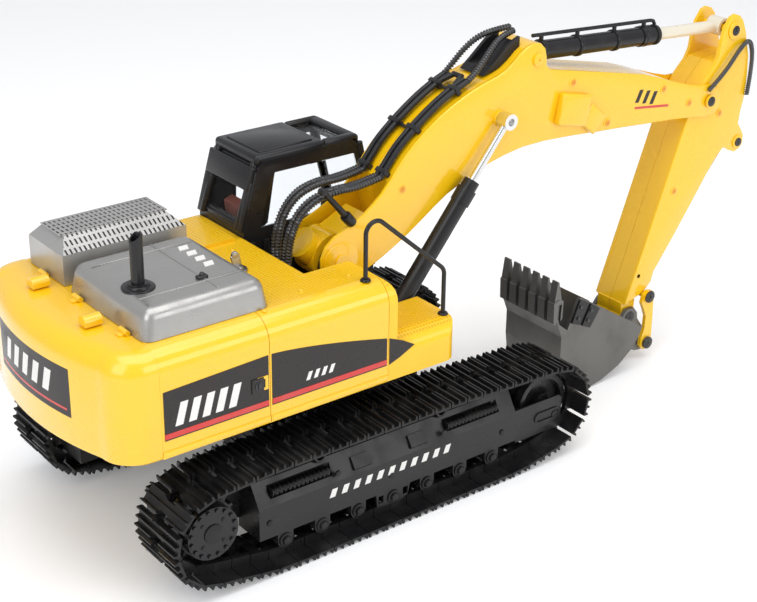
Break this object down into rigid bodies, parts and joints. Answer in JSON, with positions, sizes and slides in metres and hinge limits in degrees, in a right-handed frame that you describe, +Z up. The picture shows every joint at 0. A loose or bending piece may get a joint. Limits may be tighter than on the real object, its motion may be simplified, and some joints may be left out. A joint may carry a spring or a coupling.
{
  "type": "toy excavator",
  "caption": "Crawler excavator model with slewing house, cab, opening hoods, jointed boom, stick and bucket on steel tracks.",
  "frame": {"origin": "middle of the overall box on the ground plane under the tracks", "axes": "+X forward along the tracks towards the bucket, +Y to the cab side, +Z up"},
  "size_m": [0.5575, 0.195, 0.2651],
  "materials": {
    "yellow": "gloss paint",
    "steel": "gloss black paint",
    "dark_metal": "black paint",
    "chrome": "polished",
    "ivory": "pale satin",
    "bright_pins": "bright pins and screws",
    "black_plastic": "matte black",
    "rubber_hose": "corrugated sleeve",
    "grey_hood": "satin grey",
    "grey_bucket": "satin grey",
    "glass": "clear",
    "seat": "moulded",
    "battery": "shrink wrap",
    "board": "circuit board"
  },
  "bodies": {
    "undercarriage": {"chassis_frame": "dark_metal", "slew_ring": "steel", "track_frame_right": "steel", "track_frame_left": "steel", "idler_yokes": "steel", "travel_motors": "dark_metal", "track_shoes_right": "steel", "track_shoes_left": "steel", "track_links": "steel", "track_rollers": "steel", "frame_springs": "steel"},
    "sprocket_right": {"drive_sprocket_right": "steel"},
    "sprocket_left": {"drive_sprocket_left": "steel"},
    "idler_right": {"idler_wheel_right": "steel"},
    "idler_left": {"idler_wheel_left": "steel"},
    "house": {"house_floor": "dark_metal", "boom_bracket": "dark_metal", "counterweight": "yellow", "engine_door_right": "yellow", "side_panel_right": "yellow", "side_panel_left": "yellow", "deck_plate": "yellow", "tool_box": "yellow", "hood_hinges": "yellow", "lifting_lugs": "yellow", "handrail": "black_plastic", "cab_shell": "black_plastic", "cab_glass": "glass", "cab_seat": "seat", "cab_console": "black_plastic", "slew_motor": "dark_metal", "battery_pack": "battery", "control_board": "board", "deck_hoses": "rubber_hose"},
    "pinion": {"slew_pinion": "steel"},
    "near_hood": {"engine_hood": "grey_hood", "exhaust_stack": "black_plastic"},
    "far_hood": {"vent_hood": "grey_hood"},
    "latch": {"hood_latch": "bright_pins"},
    "boom": {"boom_half_right": "yellow", "boom_half_left": "yellow", "boom_foot_casing": "yellow", "boom_pins": "bright_pins", "boom_pipes": "black_plastic", "hose_trough": "black_plastic", "boom_hoses": "rubber_hose"},
    "boom_barrels": {"boom_cylinder_barrels": "dark_metal"},
    "boom_rods": {"boom_cylinder_rods": "chrome"},
    "stick_barrel": {"stick_cylinder_barrel": "dark_metal"},
    "stick_rod": {"stick_cylinder_rod": "ivory"},
    "stick": {"stick_half_right": "yellow", "stick_half_left": "yellow", "stick_pins": "bright_pins"},
    "bucket_barrel": {"bucket_cylinder_barrel": "dark_metal"},
    "bucket_rod": {"bucket_cylinder_rod": "chrome"},
    "rocker": {"rocker_arms": "yellow"},
    "link": {"bucket_link": "yellow"},
    "bucket": {"bucket_shell": "grey_bucket", "bucket_teeth": "grey_bucket", "side_cutters": "black_plastic"}
  },
  "joints": [
    {"name": "track_drive_right", "type": "hinge", "parent": "undercarriage", "child": "sprocket_right", "pos_m": [-0.21705, -0.076, 0.038], "axis": [0, 1, 0], "continuous": true},
    {"name": "idler_turn_right", "type": "hinge", "parent": "undercarriage", "child": "idler_right", "pos_m": [0.03495, -0.076, 0.037], "axis": [0, 1, 0], "continuous": true},
    {"name": "track_drive_left", "type": "hinge", "parent": "undercarriage", "child": "sprocket_left", "pos_m": [-0.21705, 0.076, 0.038], "axis": [0, 1, 0], "continuous": true},
    {"name": "idler_turn_left", "type": "hinge", "parent": "undercarriage", "child": "idler_left", "pos_m": [0.03495, 0.076, 0.037], "axis": [0, 1, 0], "continuous": true},
    {"name": "house_slew", "type": "hinge", "parent": "undercarriage", "child": "house", "pos_m": [-0.09125, 0, 0.084], "axis": [0, 0, 1], "continuous": true},
    {"name": "pinion_turn", "type": "hinge", "parent": "house", "child": "pinion", "pos_m": [-0.14525, 0, 0.078], "axis": [0, 0, 1], "continuous": true},
    {"name": "near_hood_lid", "type": "hinge", "parent": "house", "child": "near_hood", "pos_m": [-0.24425, -0.025, 0.1556], "axis": [0, -1, 0], "range_deg": [0, 56]},
    {"name": "far_hood_lid", "type": "hinge", "parent": "house", "child": "far_hood", "pos_m": [-0.24425, 0.043, 0.1556], "axis": [0, -1, 0], "range_deg": [0, 60]},
    {"name": "latch_turn", "type": "hinge", "parent": "house", "child": "latch", "pos_m": [-0.15125, -0.016, 0.155], "axis": [0, 0, 1], "range_deg": [0, 90]},
    {"name": "boom_lift", "type": "hinge", "parent": "house", "child": "boom", "pos_m": [-0.08525, -0.01, 0.147], "axis": [0, -1, 0], "range_deg": [-15, 20], "deforming": ["deck_hoses"]},
    {"name": "boom_barrel_swing", "type": "hinge", "parent": "house", "child": "boom_barrels", "pos_m": [-0.05285, -0.01, 0.101], "axis": [0, -1, 0], "range_deg": [-14, 18.5]},
    {"name": "boom_rod_slide", "type": "slide", "parent": "boom_barrels", "child": "boom_rods", "axis": [0.6289, 0, 0.7775], "range_m": [-0.015, 0.0195]},
    {"name": "stick_swing", "type": "hinge", "parent": "boom", "child": "stick", "pos_m": [0.23375, -0.01, 0.1875], "axis": [0, -1, 0], "range_deg": [-20, 14]},
    {"name": "stick_barrel_swing", "type": "hinge", "parent": "boom", "child": "stick_barrel", "pos_m": [0.06755, -0.01, 0.2455], "axis": [0, -1, 0], "range_deg": [-3, 2]},
    {"name": "stick_rod_slide", "type": "slide", "parent": "stick_barrel", "child": "stick_rod", "axis": [0.9981, 0, -0.062], "range_m": [-0.012, 0.017]},
    {"name": "bucket_curl", "type": "hinge", "parent": "stick", "child": "bucket", "pos_m": [0.17425, -0.01, 0.036], "axis": [0, -1, 0], "range_deg": [0, 40]},
    {"name": "rocker_swing", "type": "hinge", "parent": "stick", "child": "rocker", "pos_m": [0.18025, -0.01, 0.0665], "axis": [0, -1, 0], "range_deg": [-1, 62]},
    {"name": "link_swing", "type": "hinge", "parent": "rocker", "child": "link", "pos_m": [0.18875, -0.01, 0.0498], "axis": [0, -1, 0], "range_deg": [-62, 1]},
    {"name": "bucket_barrel_swing", "type": "hinge", "parent": "stick", "child": "bucket_barrel", "pos_m": [0.27175, -0.01, 0.149], "axis": [0, -1, 0], "range_deg": [-1, 1]},
    {"name": "bucket_rod_slide", "type": "slide", "parent": "bucket_barrel", "child": "bucket_rod", "axis": [-0.6417, 0, -0.767], "range_m": [-0.02, 0.001]}
  ],
  "couplings": [
    {"joint": "idler_turn_right", "follows": "track_drive_right", "ratio": 1},
    {"joint": "idler_turn_left", "follows": "track_drive_left", "ratio": 1},
    {"joint": "pinion_turn", "follows": "house_slew", "ratio": 3},
    {"joint": "boom_barrel_swing", "follows": "boom_lift", "ratio": 0.8788},
    {"joint": "boom_rod_slide", "follows": "boom_lift", "m_per_rad": 0.05411},
    {"joint": "stick_barrel_swing", "follows": "stick_swing", "ratio": 0.1137},
    {"joint": "stick_rod_slide", "follows": "stick_swing", "m_per_rad": -0.04733},
    {"joint": "rocker_swing", "follows": "bucket_curl", "ratio": 1.5187},
    {"joint": "link_swing", "follows": "bucket_curl", "ratio": -1.5038},
    {"joint": "bucket_barrel_swing", "follows": "bucket_curl", "ratio": -0.0086},
    {"joint": "bucket_rod_slide", "follows": "bucket_curl", "m_per_rad": -0.02755}
  ]
}
